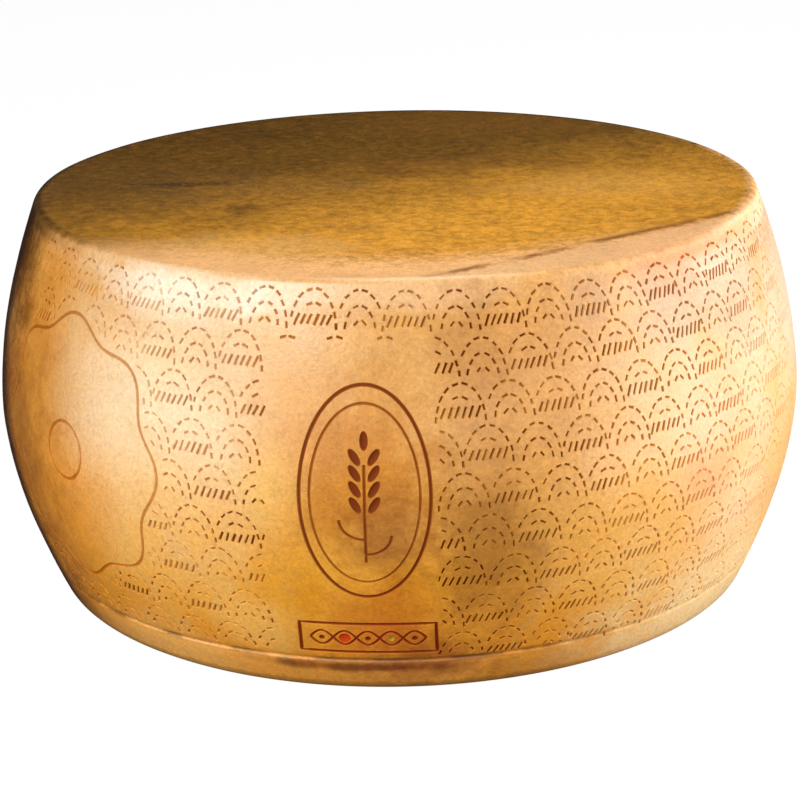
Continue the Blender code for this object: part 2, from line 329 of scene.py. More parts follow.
def sealCutters():
    made = []
    for share, line in ((1, seal["line"]), (seal["innerShare"], seal["innerLine"])):
        wide, tall = seal["halfWidth"] * share, seal["halfHeight"] * share
        oval = [(wide * math.sin(a), tall * math.cos(a)) for a in around(seal["ovalSteps"])]
        made.append(sweepLine("seal", seal, oval, line, closed=True))
    steps = seal["lineSteps"]
    rise = seal["stemTop"] - seal["stemFoot"]
    stem = [(0, seal["stemFoot"] + rise * i / steps) for i in range(steps + 1)]
    made.append(sweepLine("seal", seal, stem, seal["stem"]))
    grains = [(0, seal["firstPair"] + seal["pairStep"] * seal["pairs"], 0)]
    for pair in range(seal["pairs"]):
        up = seal["firstPair"] + seal["pairStep"] * pair
        grains += [(side * seal["grainOffset"], up, -side * seal["grainLean"]) for side in (-1, 1)]
    made += [layGrain("seal", seal, *grain, seal["grain"]) for grain in grains]
    for number, foot in enumerate(seal["leafFeet"]):
        side = -1 if number % 2 else 1
        leaf = []
        for i in range(steps + 1):
            bend = math.pi / 2 * i / steps
            across = side * seal["leafReach"] * math.sin(bend)
            leaf.append((across, foot + seal["leafRise"] * (1 - math.cos(bend))))
        made.append(sweepLine("seal", seal, leaf, seal["stem"]))
    return made


# the date frame, with a two-stranded twist in it
dateFrame = {
    "azimuth": math.radians(-5.0),
    "height": 0.0335,
    "halfWidth": 0.0335,
    "halfHeight": 0.0088,
    "line": 0.0012,
    "twistHalfLength": 0.0285,
    "twistHalfHeight": 0.0042,
    "loops": 5,
    "twistLine": 0.0010,
    "lineSteps": 12,  # to each side of the frame and each loop of the twist
    "eye": 0.0016,
    "redEye": 0.0032,
    "eyeDepth": 0.0010,
    "redLoop": 1,  # counted from the left, from 0
    "goldLoop": 3,
}


def frameCutters():
    made = []
    wide, tall = dateFrame["halfWidth"], dateFrame["halfHeight"]
    steps = dateFrame["lineSteps"]
    corners = [(-wide, -tall), (wide, -tall), (wide, tall), (-wide, tall), (-wide, -tall)]
    outline = []
    for (x0, y0), (x1, y1) in zip(corners, corners[1:]):
        outline += [(x0 + (x1 - x0) * i / steps, y0 + (y1 - y0) * i / steps) for i in range(steps)]
    made.append(sweepLine("frame", dateFrame, outline, dateFrame["line"], closed=True))
    count = steps * dateFrame["loops"]
    for side in (-1, 1):
        strand = []
        for i in range(count + 1):
            swing = math.sin(math.pi * dateFrame["loops"] * i / count)
            across = dateFrame["twistHalfLength"] * (2 * i / count - 1)
            strand.append((across, side * dateFrame["twistHalfHeight"] * swing))
        made.append(sweepLine("frame", dateFrame, strand, dateFrame["twistLine"]))
    for loop in range(dateFrame["loops"]):
        across = dateFrame["twistHalfLength"] * ((2 * loop + 1) / dateFrame["loops"] - 1)
        kind = {dateFrame["redLoop"]: "redSpot", dateFrame["goldLoop"]: "goldSpot"}.get(loop, "frame")
        eye = dateFrame["redEye"] if kind == "redSpot" else dateFrame["eye"]
        made.append(layGrain(kind, dateFrame, across, 0, 0, (eye, eye, dateFrame["eyeDepth"])))
    return made


# the medallion at the side: a faint eight-lobed outline round a small ring
medallion = {
    "azimuth": math.radians(-51),
    "height": 0.111,
    "radius": 0.0660,
    "lobes": 8,
    "lobeDepth": 0.055,
    "line": 0.0011,
    "ring": 0.0150,
    "lobedSteps": 160,
    "ringSteps": 40,
    "bareMargin": 0.004,
}


def lobedReach(turn):
    return medallion["radius"] * (1 + medallion["lobeDepth"] * math.cos(medallion["lobes"] * turn))


def medallionCutters():
    turns = around(medallion["lobedSteps"])
    lobed = [(lobedReach(a) * math.sin(a), lobedReach(a) * math.cos(a)) for a in turns]
    turns = around(medallion["ringSteps"])
    ring = [(medallion["ring"] * math.sin(a), medallion["ring"] * math.cos(a)) for a in turns]
    return [sweepLine("medallion", medallion, line, medallion["line"], closed=True) for line in (lobed, ring)]


# the pricked pattern: rows of dashed scales
# They hold, by turns, leaning strokes under a brow, and two more arches.
scales = {
    "columns": 56,
    "firstCrown": math.radians(1.3),
    "topCrown": 0.208,
    "rowHeight": 0.0215,
    "crownHeight": 0.0195,
    "rows": 10,
    "lowest": 0.0232,
    "lowestDrop": 0.0085,  # the marks reach lower where the mould line is faint
    "dashStep": 0.0050,
    "brow": (0.68, math.radians(52)),  # its size, and its span to each side of the crown
    "inner": ((0.64, math.radians(74)), (0.30, math.radians(60))),
    "strokes": 6,
    "strokeStep": 0.0034,
    "strokeHeight": 0.0058,
    "strokeLean": math.radians(23),
    "gap": 0.0016,
    "cell": 0.004,  # the squares in which near dashes are looked for
    "archSteps": 300,
    "waver": (0.060, 0.0012),  # how wide and how far the rows wander
    "slip": 0.0004,  # how far a scale lies from its place
    "seed": 5,
    "bareLeft": math.radians(-17.5),
    "bareRight": math.radians(4.5),
    "bareTop": 0.1862,
}

# the wedge-shaped pins that press it: length, width and depth at the surface
pins = {
    "dash": (0.0039, 0.00155, 0.0010),
    "stroke": (0.0064, 0.00165, 0.0011),
    "proud": 0.0003,
    "guard": 0.4,  # how far from its middle a pin guards its ends, as a share of its length
    "deepDraw": (0.80, 1.15),
    "wideDraw": (0.88, 1.12),
    "longDraw": (0.90, 1.08),
    "slipDraw": 0.00012,
    "leanDraw": 0.04,
    "seed": 11,
}


def keptBare(azimuth, height):  # true round the seal, in the medallion and under the mould line
    if height < scales["lowest"] - scales["lowestDrop"] * faintness(azimuth):
        return True
    if scales["bareLeft"] < azimuth < scales["bareRight"] and height < scales["bareTop"]:
        return True
    across = (azimuth - medallion["azimuth"]) * barrelRadius(height)
    up = height - medallion["height"]
    return math.hypot(across, up) < lobedReach(math.atan2(across, up)) + medallion["bareMargin"]


def archDashes(size, span):  # place and lean of each dash along an arch, at even steps out from its crown
    halfWidth = size * math.pi * barrel["bellyRadius"] / scales["columns"]
    tall = size * scales["crownHeight"]
    steps = scales["archSteps"]
    turns = [span * i / steps for i in range(steps + 1)]
    fine = [(halfWidth * math.sin(turn), tall * math.cos(turn)) for turn in turns]
    walked = [0]
    for last, place in zip(fine, fine[1:]):
        walked.append(walked[-1] + math.dist(last, place))
    dashes = []
    for i in range(int(walked[-1] / scales["dashStep"] - 0.5) + 1):
        number = int(np.searchsorted(walked, scales["dashStep"] * (i + 0.5)))
        (x0, y0), (x1, y1) = fine[number - 1], fine[min(steps, number)]
        lean = math.atan2(x0 - x1, y1 - y0)
        dashes += [(x0, y0, lean), (-x0, y0, -lean)]
    return dashes


def patternPlaces():  # azimuth, height, lean and kind of every pin, with none across another
    column = 2 * math.pi / scales["columns"]
    outer = archDashes(1, math.pi / 2)
    struck = []
    for i in range(scales["strokes"]):
        across = (i - (scales["strokes"] - 1) / 2) * scales["strokeStep"]
        struck.append((across, scales["strokeHeight"], -scales["strokeLean"], "stroke"))
    struck += [(*dash, "dash") for dash in outer + archDashes(*scales["brow"])]
    arched = [(*dash, "dash") for dash in sum((archDashes(*arch) for arch in scales["inner"]), outer)]
    kept, taken = [], {}
    draw = random.Random(scales["seed"])
    wide, far = scales["waver"]
    for row in range(scales["rows"]):
        foot = scales["topCrown"] - scales["crownHeight"] - scales["rowHeight"] * row
        for number in range(scales["columns"]):
            middle = scales["firstCrown"] + column * (number + row % 2 / 2)
            middle = (middle + math.pi) % (2 * math.pi) - math.pi
            spot = Vector((math.sin(middle), math.cos(middle), 0)) * barrel["bellyRadius"] / wide
            slipped = draw.gauss(0, scales["slip"]) / barrel["bellyRadius"]
            level = foot + draw.gauss(0, scales["slip"]) + far * noise.noise(spot)
            for across, up, lean, kind in arched if (number + row // 2) % 2 else struck:
                azimuth, height = middle + slipped + across / barrel["bellyRadius"], level + up
                if keptBare(azimuth, height):
                    continue
                half = pins[kind][0] * pins["guard"]
                spots = []
                for share in (-1, 0, 1):
                    x = azimuth * barrel["bellyRadius"] - math.sin(lean) * half * share
                    spots.append((x, height + math.cos(lean) * half * share))
                if kind == "dash" and any(tooNear(spot, taken) for spot in spots):
                    continue
                for spot in spots:
                    taken.setdefault(cellOf(spot), []).append(spot)
                kept.append((azimuth, height, lean, kind))
    return kept


def cellOf(spot):
    return math.floor(spot[0] / scales["cell"]), math.floor(spot[1] / scales["cell"])


def tooNear(spot, taken):
    column, row = cellOf(spot)
    near = [s for i in (-1, 0, 1) for j in (-1, 0, 1) for s in taken.get((column + i, row + j), ())]
    return any(math.dist(spot, s) < scales["gap"] for s in near)


def pinShape():  # a three-sided bar one unit long, wide and deep, with one edge down
    bpy.ops.object.select_all(action="DESELECT")
    bpy.ops.mesh.primitive_cylinder_add(vertices=3, radius=1, depth=1, rotation=(math.pi / 2, 0, 0))
    wedge = bpy.context.object
    bpy.ops.object.transform_apply(rotation=True)
    flat = Matrix.Diagonal((1 / (2 * math.sin(math.pi / 3)), 1, -1 / 1.5, 1))
    wedge.data.transform(flat @ Matrix.Translation((0, 0, 0.5)))
    wedge.data.flip_normals()
    return wedge


def pinCutter():  # one pin is modelled, and its copies are laid at every place as one cutter
    first = pinShape()
    corners = [v.co.copy() for v in first.data.vertices]
    faces = [tuple(p.vertices) for p in first.data.polygons]
    bpy.data.objects.remove(first)
    draw = random.Random(pins["seed"])
    points, polygons = [], []
    for azimuth, height, lean, kind in patternPlaces():
        long, wide, deep = pins[kind]
        deep *= draw.uniform(*pins["deepDraw"])
        swell = 1 + pins["proud"] / deep
        wide *= draw.uniform(*pins["wideDraw"]) * swell
        long *= draw.uniform(*pins["longDraw"])
        azimuth += draw.gauss(0, pins["slipDraw"]) / barrel["bellyRadius"]
        place = sideFrame(azimuth, height + draw.gauss(0, pins["slipDraw"]))
        turn = Matrix.Rotation(lean + draw.gauss(0, pins["leanDraw"]), 4, "Z")
        place = place @ Matrix.Translation((0, 0, pins["proud"])) @ turn
        start = len(points)
        for corner in corners:
            along = corner.y * long
            if corner.z < -0.5:  # its lower edge is shorter than its top
                along -= math.copysign(wide / 2, along)
            points.append(place @ Vector((corner.x * wide, along, corner.z * (deep + pins["proud"]))))
        polygons += [tuple(start + v for v in face) for face in faces]
    mesh = bpy.data.meshes.new("pins")
    mesh.from_pydata(points, [], polygons)
    cutter = bpy.data.objects.new("pins", mesh)
    bpy.context.scene.collection.objects.link(cutter)
    print("pins laid:", len(points) // len(corners))
    return cutter


def cutAway(body, cutter):
    chooseOnly(body)
    cut = body.modifiers.new(cutter.name, "BOOLEAN")
    cut.operation = "DIFFERENCE"
    cut.solver = "MANIFOLD"
    cut.object = cutter
    bpy.ops.object.modifier_apply(modifier=cut.name)
    bpy.data.objects.remove(cutter)


markKinds = ["rind", "pin", "seal", "frame", "medallion", "redSpot", "goldSpot"]

# where the pin marks are paler, a painted light over the lit left and right, with uneven wear: azimuth and
# half width in degrees, height and half height, strength
wearAndPaintedLight = {
    "left": (-36, 22, 0.165, 0.075, 0.50),
    "right": (80, 64, 0.130, 0.200, 0.88),
    "clouds": (0.030, 1.6, 0.55),  # how wide the uneven wear is, how sharp and how strong
}

relief = {
    "markReach": 2.2,  # a mark's colour goes this many line radii from its middle
    "least": 0.00006,  # a face that is pressed less is bare rind
}


# a pin mark's darkness: uneven wear darkens it, and its paler left and right are a painted light
def inkAt(point):  # how dark a pin mark is here, from 0 to 1
    azimuth = math.degrees(math.atan2(point.x, -point.y))
    wide, sharp, strength = wearAndPaintedLight["clouds"]
    ink = 1 - strength * min(1, max(0, 0.5 - sharp * noise.noise(point / wide)))
    # the left and right patches pale the marks where the lamps fall, a painted light
    for side in ("left", "right"):
        turn, halfTurn, level, halfLevel, strength = wearAndPaintedLight[side]
        far = math.hypot((azimuth - turn) / halfTurn, (point.z - level) / halfLevel)
        ink *= 1 - strength * max(0, 1 - far * far)
    return ink


def markRelief(wheel, uncut):  # stores how deep each point is pressed, and gives faces their materials
    mesh = wheel.data
    tree = kdtree.KDTree(sum(len(paths) for paths in markPaths.values()))
    owners = []
    for kind, paths in markPaths.items():
        for spot, reach in paths:
            tree.insert(spot, len(owners))
            owners.append((kind, reach))
    tree.balance()
    depths = [uncut.find_nearest(v.co)[3] for v in mesh.vertices]
    marks = []
    for v in mesh.vertices:
        _, index, gap = tree.find(v.co)
        kind, reach = owners[index]
        marks.append(kind if gap < relief["markReach"] * reach else "pin")
    for face in mesh.polygons:
        deepest = max(face.vertices, key=lambda v: depths[v])
        if depths[deepest] > relief["least"]:
            face.material_index = markKinds.index(marks[deepest])
    inks = [inkAt(v.co) if mark == "pin" else 1.0 for v, mark in zip(mesh.vertices, marks)]
    for name, values in (("pressed", [d * 1000 for d in depths]), ("ink", inks)):  # pressed in millimetres
        layer = mesh.attributes.new(name, "FLOAT", "POINT")
        layer.data.foreach_set("value", values)
    print("relief stored:", len(mesh.polygons), "faces")


def makeWheel():
    blank = turnBlank()
    mesh = blank.data
    faces = [tuple(p.vertices) for p in mesh.polygons]
    uncut = BVHTree.FromPolygons([v.co.copy() for v in mesh.vertices], faces)
    for cutter in sealCutters() + frameCutters() + medallionCutters():
        cutAway(blank, cutter)
    print("lines pressed:", len(mesh.polygons), "faces")
    cutAway(blank, pinCutter())
    chooseOnly(blank)
    bpy.ops.object.mode_set(mode="EDIT")
    bpy.ops.mesh.select_all(action="SELECT")
    bpy.ops.mesh.quads_convert_to_tris()
    bpy.ops.object.mode_set(mode="OBJECT")
    mesh.materials.clear()
    for kind in markKinds:
        mesh.materials.append(rindMaterial() if kind == "rind" else markMaterial(kind))
    markRelief(blank, uncut)
    chooseOnly(blank)
    bpy.ops.object.shade_smooth_by_angle(angle=blankMesh["smoothAngle"])
    return blank


def addNode(tree, kind, inputs=None, **settings):  # a node with settings, and values or links for inputs
    node = tree.nodes.new("ShaderNode" + kind)
    for name, value in settings.items():
        setattr(node, name, value)
    for name, value in (inputs or {}).items():
        if isinstance(value, bpy.types.NodeSocket):
            tree.links.new(value, node.inputs[name])
        else:
            node.inputs[name].default_value = value
    return node


def maths(tree, operation, a, b=0.0, c=0.0, clamp=False):
    return addNode(tree, "Math", {0: a, 1: b, 2: c}, operation=operation, use_clamp=clamp).outputs[0]


def times(tree, first, *others):  # several shares multiplied
    for other in others:
        first = maths(tree, "MULTIPLY", first, other)
    return first


def scaled(tree, value, by, plus=0.0):
    return maths(tree, "MULTIPLY_ADD", value, by, plus)


def offFrom(tree, value, middle):  # how far a value is from a middle, to either side
    return maths(tree, "ABSOLUTE", maths(tree, "SUBTRACT", value, middle))


def fadeBetween(tree, value, low, high, smooth=True):  # 0 at low and 1 at high, held outside them
    kind = "SMOOTHSTEP" if smooth else "LINEAR"
    inputs = {"Value": value, "From Min": low, "From Max": high}
    return addNode(tree, "MapRange", inputs, interpolation_type=kind).outputs[0]


def cloud(tree, vector, scale, detail, rough, twist):
    inputs = {"Vector": vector, "Scale": scale, "Detail": detail, "Roughness": rough, "Distortion": twist}
    return addNode(tree, "TexNoise", inputs).outputs["Fac"]


def broken(tree, value, clouds, weights):  # a value made uneven by clouds, each with its weight
    for name, weight in weights.items():
        value = scaled(tree, clouds[name], weight, value)
    return value


def linear(colour):  # a linear colour from an sRGB one out of 255
    shares = [c / 255 for c in colour]
    return (*(s / 12.92 if s < 0.04045 else ((s + 0.055) / 1.055) ** 2.4 for s in shares), 1)


def blendColour(tree, share, first, second, way="MIX"):
    inputs = {0: share, 6: first, 7: second}
    return addNode(tree, "Mix", inputs, data_type="RGBA", blend_type=way, clamp_factor=True).outputs[2]


def tinted(tree, colour, tint, *shares):  # a colour gone over with a tint where all the shares are high
    return blendColour(tree, times(tree, *shares), colour, linear(tint))


def shaded(tree, colour, tone):  # a colour darkened by a tone
    grey = addNode(tree, "CombineColor", {0: tone, 1: tone, 2: tone}).outputs[0]
    return blendColour(tree, 1.0, colour, grey, "MULTIPLY")


# the clouds that break every tone up: how close they are, then their detail, roughness and twist
toneClouds = {
    "big": (8, 3, 0.50, 0.4),
    "middle": (40, 4, 0.55, 0.0),
    "small": (190, 4, 0.60, 0.0),
    "fine": (520, 3, 0.60, 0.0),
    "grain": (1300, 2, 0.50, 0.0),
}

# Colours are sRGB. A fade is where there is none of a tone, then where there is all of it.

# the ground of the side: straw above, gold below, orange at its foot, and the dark mould line and heel. The
# paler straw above is partly a painted sheen, and the heel is a painted shade along the bottom edge
sideLook = {
    "straw": (214, 156, 82),
    "gold": (224, 156, 52),
    "goldFade": (0.235, 0.100),
    "goldUneven": {"big": 0.14},
    "orange": (226, 142, 34),
    "orangeFade": (0.125, 0.035),
    "orangeUneven": {"middle": 0.06},
    "orangeShare": 0.90,
    "foot": (224, 154, 70),
    "footFade": (0.021, 0.017),
    "footShare": 0.60,
    "heel": (84, 44, 10),
    "heelFade": (0.0074, 0.0052),
    "heelShare": (0.25, 0.15),  # more where the mould line is whole, and everywhere
    "lineRise": 0.0012,  # the line's dark lies above its middle
    "lineFade": (0.0024, 0.0004),
    "lineBreaks": (0.38, 0.58),
    "lineShare": 0.70,
    "lineUneven": {"small": 0.0012, "fine": 0.0016},
    "wholeFade": (0.7, 1.2),  # in half widths of the line's faint stretch
}

# soft patches on the side: azimuth and half width in degrees, height and half height, colour and strength
patches = {
    # paleLeft is a painted highlight, where the left lamps shine
    "paleLeft": (-34, 24, 0.145, 0.085, (252, 218, 174), 0.68),
    "warmLeft": (-32, 18, 0.078, 0.055, (246, 184, 90), 0.60),
    # the next two are a painted sheen on the lit right side
    "paleRight": (62, 40, 0.075, 0.110, (248, 198, 130), 0.65),
    "farRight": (84, 26, 0.160, 0.066, (250, 218, 194), 0.62),
    "warmRight": (32, 12, 0.070, 0.060, (244, 178, 84), 0.50),
    # the next two are painted light: lowRight on the lit lower right and peach on the right side
    "lowRight": (42, 22, 0.045, 0.040, (248, 190, 104), 0.50),
    "peach": (52, 16, 0.095, 0.080, (244, 186, 134), 0.55),
    "midRight": (18, 9, 0.150, 0.065, (204, 138, 60), 0.45),
    # the next two are a painted sheen on the lit right side
    "rightPale": (56, 10, 0.156, 0.060, (255, 222, 198), 0.30),
    "rightLow": (53, 9, 0.078, 0.030, (250, 208, 164), 0.45),
    "rightWarm": (46, 9, 0.118, 0.046, (238, 166, 104), 0.60),
    "highLeft": (-41, 7, 0.192, 0.020, (224, 168, 108), 0.40),
    "midLeft": (-22, 8, 0.176, 0.034, (214, 160, 90), 0.35),
    # the next three are a painted highlight just under the rim, at the left and front
    "rimLeft": (-56, 12, 0.208, 0.009, (240, 200, 150), 0.55),
    "underFront": (4, 15, 0.207, 0.012, (250, 208, 164), 0.40),
    "underLeft": (-17, 5, 0.203, 0.010, (252, 212, 178), 0.35),
    "rightHigh": (27, 7, 0.200, 0.022, (190, 138, 84), 0.62),
    "rightRim": (37, 8, 0.194, 0.022, (214, 164, 124), 0.45),
    "highRight": (16, 14, 0.178, 0.030, (200, 138, 72), 0.35),
    # farHighRight is a painted shade under the rim on the right
    "farHighRight": (50, 17, 0.192, 0.036, (190, 146, 106), 0.60),
    "goldLeft": (-14, 6, 0.066, 0.034, (230, 154, 24), 0.60),
    "goldMiddle": (-14, 7, 0.130, 0.060, (226, 154, 60), 0.55),
    "goldAbove": (-1, 12, 0.156, 0.026, (218, 152, 58), 0.45),
    "goldRight": (3, 5, 0.066, 0.032, (230, 154, 24), 0.50),
    "brownBand": (10, 7, 0.100, 0.130, (180, 116, 40), 0.45),
    "browned": (12, 8, 0.078, 0.040, (146, 88, 20), 0.50),
    "sealTint": (-5.5, 11, 0.124, 0.047, (198, 122, 6), 0.88),
    "sealLow": (-2, 7, 0.092, 0.026, (148, 84, 32), 0.69),
    "sealLeft": (-17, 5, 0.116, 0.026, (240, 190, 90), 0.40),
    "goldUnder": (-4, 10, 0.062, 0.020, (230, 154, 28), 0.35),
    "sealFoot": (-4, 9, 0.050, 0.022, (200, 108, 18), 0.60),
    "frameTint": (-5, 10, 0.0335, 0.013, (202, 104, 22), 0.55),
    "warmEdge": (-63, 13, 0.100, 0.170, (238, 156, 50), 0.85),
    "warmBelly": (-52, 11, 0.085, 0.045, (244, 156, 44), 0.70),
    # edgeHigh is a painted shade at the upper left edge, where the light falls off
    "edgeHigh": (-84, 20, 0.193, 0.052, (94, 60, 14), 0.94),
    # underRim is a painted shade under the rim at the right, dimming where the lamps shine
    "underRim": (47, 15, 0.205, 0.016, (214, 140, 78), 0.80),
    # the next two are a painted shade down the left side, where the light falls off
    "edgeLow": (-74, 19, 0.018, 0.048, (124, 76, 20), 0.75),
    "edgeMiddle": (-59, 9, 0.048, 0.036, (196, 120, 40), 0.50),
    # lowLeft is painted light on the lower left
    "lowLeft": (-21, 8, 0.038, 0.020, (252, 194, 100), 0.58),
    "footLeft": (-38, 17, 0.005, 0.026, (246, 184, 98), 0.60),
    # footRight is painted light at the foot of the lit right side
    "footRight": (58, 34, 0.014, 0.042, (255, 218, 158), 0.78),
    "footGold": (18, 9, 0.010, 0.014, (206, 130, 24), 0.60),
    "footStreak": (3, 10, 0.018, 0.016, (138, 64, 18), 0.60),
    # hotLeft is a painted highlight under the rim at the left
    "hotLeft": (-33, 14, 0.203, 0.015, (255, 238, 212), 0.78),
    "frameGroove": (-6, 17, 0.0150, 0.0034, (110, 46, 14), 0.85),
}

# the soft uneven edge of every patch, in half sizes of the patch
patchEdge = {
    "fade": (1.25, 0.25),
    "uneven": (-0.9, {"small": 0.5, "middle": 1.3}),
}

# the dark left edge, a painted shade where the light falls off, which is dull too: a patch with a darker
# painted outline down its middle
edge = {
    "patch": (-92, 42, 0.085, 0.155),
    "ragged": 0.4,  # less uneven than the patches
    "colour": (104, 46, 0),
    "strength": 0.92,
    "streak": (34, 17, 3),
    "streakFoot": 77,  # how far round to the left its foot is, in degrees
    "streakSlope": 90,  # how much farther it goes in a metre of height
    "streakTop": 90.5,  # and no farther than this
    "streakNear": (18, 11),  # its fades to each side, in degrees
    "streakFar": (-34, 4),
    "streakShare": 0.85,
}

# the two faces: darker on the left and towards the back, a painted shade where less light falls
faceLook = {
    "colour": (218, 150, 44),
    "lean": 0.5,  # how much the brown follows left and right, beside front and back
    "uneven": 0.055,
    "fade": (-0.095, 0.130),
    "tone": (0.23, 0.625),  # at the back, and what the front adds
    "blotch": (0.10, {"small": 1.20, "middle": 0.30, "fine": 0.30}),
    "speckle": (0.38, 0.56),
    "frontFade": (-0.095, -0.160),
    # the rim colour below is a painted highlight along the front of the face's outer band
    "rim": (250, 190, 128),
    "rimFade": (0.168, 0.208),
    "rimUneven": {"small": 0.030, "fine": 0.024},
    "rimShare": 0.80,
    "brinkDrop": 0.0005,  # from this far below the top, going down counts as going out
    "brinkSteep": 1.2,
    "brinkFront": 0.002,  # and so does the front
    "brinkUneven": {"small": 0.006},
    "brinkFade": (0.2020, 0.1970),
    "underHeight": 0.004,  # the face that the wheel rests on is below this
    "underFade": (0.192, 0.186),
}

# soft patches on the upper face: place and half size, colour and strength
smudges = {
    "streak": (-0.111, 0.010, 0.028, 0.007, (40, 22, 6), 0.85),
    "blotch": (-0.084, -0.050, 0.014, 0.014, (84, 50, 10), 0.65),
    "scuff": (-0.020, -0.094, 0.030, 0.012, (100, 70, 34), 0.55),
    "back": (0.020, 0.066, 0.026, 0.014, (76, 46, 12), 0.40),
    # the next two are painted light, where the lamps fall on the face
    "right": (0.115, -0.012, 0.070, 0.040, (230, 170, 80), 0.32),
    "frontLeft": (-0.080, -0.134, 0.070, 0.034, (242, 186, 112), 0.38),
    "middle": (0.028, 0.042, 0.060, 0.030, (118, 72, 22), 0.40),
    # the next two are a painted shade at the back of the face
    "backLeft": (-0.100, 0.150, 0.050, 0.044, (60, 38, 10), 0.30),
    "farBack": (0.055, 0.155, 0.095, 0.045, (140, 92, 30), 0.40),
}

# past the crease the rind of the side shows on the face, with a broken brown line between them, a painted
# shade along the crease
creaseLook = {
    "colour": (128, 78, 32),
    "shift": 0.0030,
    "uneven": {"fine": 0.004, "small": 0.006},
    "fade": (0.009, -0.001),
    "width": 0.0050,
    "breaks": (0.28, 0.54),
    "share": 0.90,
    "wedge": (226, 176, 124),
    "wedgeShare": 0.68,
}

# the paler rounding of the rim, worn all round and a painted highlight at the right and front, and its dark
# far side, a painted shade
rimLook = {
    "wearAndPaintedLight": (236, 184, 128),
    "reach": 0.1940,
    "height": 0.2115,
    "fade": (0.0065, 0.0015),
    "breaks": (0.30, 0.60),
    "rightFade": (0.140, 0.185),
    # the extra at the right and front is a painted highlight
    "shares": (0.05, 0.70, 0.35),  # all round, more at the right, and more at the front
    # the dark far side of the rounding is a painted shade
    "far": (58, 36, 10),
    "farReach": (0.1890, 0.1925),
    "farHeight": (0.2040, 0.2085),
    "farSide": (0.060, -0.060),
    "farShare": 0.70,
}

# flecks, cloudy mottling and grain over everything
overall = {
    "fleck": (168, 102, 40),
    "fleckFade": (0.60, 0.72),
    "fleckShare": 0.30,
    "mottling": (0.15, {"grain": 0.40, "fine": 0.60, "middle": 0.30, "small": 0.40}),
}

# how the rind shines, and its fine relief
sheen = {
    "rough": 0.22,
    "faceRough": 0.10,
    "roughUneven": {"small": 0.20},
    "dullRough": 0.30,
    "dullRimHeight": (0.1985, 0.2060),
    "dullRimAcross": (0.070, 0.125),
    "dry": (-5, 12, 0.128, 0.056),  # a patch round the seal, without a coat
    "polish": 0.30,
    "coatRough": 0.26,
    "specular": 0.50,
    "relief": {"grain": 0.15, "fine": 0.35, "small": 0.50},
    "bump": 0.60,
    "bumpHeight": 0.0009,
    "markRough": 0.60,
    "markSpecular": 0.08,
}


def nearSpot(tree, across, up, spot, uneven):  # 1 at the middle of a soft uneven oval and 0 past its edge
    x, halfX, y, halfY = spot
    wide = scaled(tree, across, 1 / halfX, -x / halfX)
    tall = scaled(tree, up, 1 / halfY, -y / halfY)
    far = addNode(tree, "CombineXYZ", {0: wide, 1: tall}).outputs[0]
    far = addNode(tree, "VectorMath", {0: far}, operation="LENGTH").outputs["Value"]
    return fadeBetween(tree, maths(tree, "ADD", far, uneven), *patchEdge["fade"])


def nearPatch(tree, at, patch, uneven):  # the same for a patch of the side, which is given in degrees
    turn, halfTurn, level, halfLevel = patch
    spot = (math.radians(turn), math.radians(halfTurn), level, halfLevel)
    return nearSpot(tree, at["azimuth"], at["height"], spot, uneven)


def sideColour(tree, at, clouds, uneven):
    look, height = sideLook, at["height"]
    gold = fadeBetween(tree, broken(tree, height, clouds, look["goldUneven"]), *look["goldFade"])
    side = blendColour(tree, gold, linear(look["straw"]), linear(look["gold"]))
    orange = fadeBetween(tree, broken(tree, height, clouds, look["orangeUneven"]), *look["orangeFade"])
    side = tinted(tree, side, look["orange"], orange, look["orangeShare"])

    near, far = (share * mouldLine["faintHalf"] for share in look["wholeFade"])
    whole = fadeBetween(tree, offFrom(tree, at["azimuth"], mouldLine["faintAt"]), near, far)
    foot = fadeBetween(tree, height, *look["footFade"])
    side = tinted(tree, side, look["foot"], foot, whole, look["footShare"])
    for *patch, colour, strength in patches.values():
        side = tinted(tree, side, colour, nearPatch(tree, at, patch, uneven), strength)

    # painted shade at the left edge, where the light falls off; the same mask also dulls the rind there
    dullShadedEdge = nearPatch(tree, at, edge["patch"], times(tree, uneven, edge["ragged"]))
    side = tinted(tree, side, edge["colour"], dullShadedEdge, edge["strength"])
    # the streak is a darker painted outline near the silhouette, a painted shade
    turn = scaled(tree, height, edge["streakSlope"], edge["streakFoot"])
    turn = scaled(tree, maths(tree, "MINIMUM", turn, edge["streakTop"]), math.radians(1), at["azimuth"])
    fades = [fadeBetween(tree, turn, *map(math.radians, edge[name])) for name in ("streakNear", "streakFar")]
    side = tinted(tree, side, edge["streak"], *fades, edge["streakShare"])

    # darker along the mould line, and a painted shade at the heel along the bottom edge
    level = broken(tree, height, clouds, look["lineUneven"])
    line = fadeBetween(tree, offFrom(tree, level, mouldLine["height"] + look["lineRise"]), *look["lineFade"])
    breaks = fadeBetween(tree, clouds["middle"], *look["lineBreaks"])
    line = times(tree, line, whole, breaks, look["lineShare"])
    heel = times(tree, fadeBetween(tree, level, *look["heelFade"]), scaled(tree, whole, *look["heelShare"]))
    side = tinted(tree, side, look["heel"], maths(tree, "MAXIMUM", line, heel))
    return side, dullShadedEdge


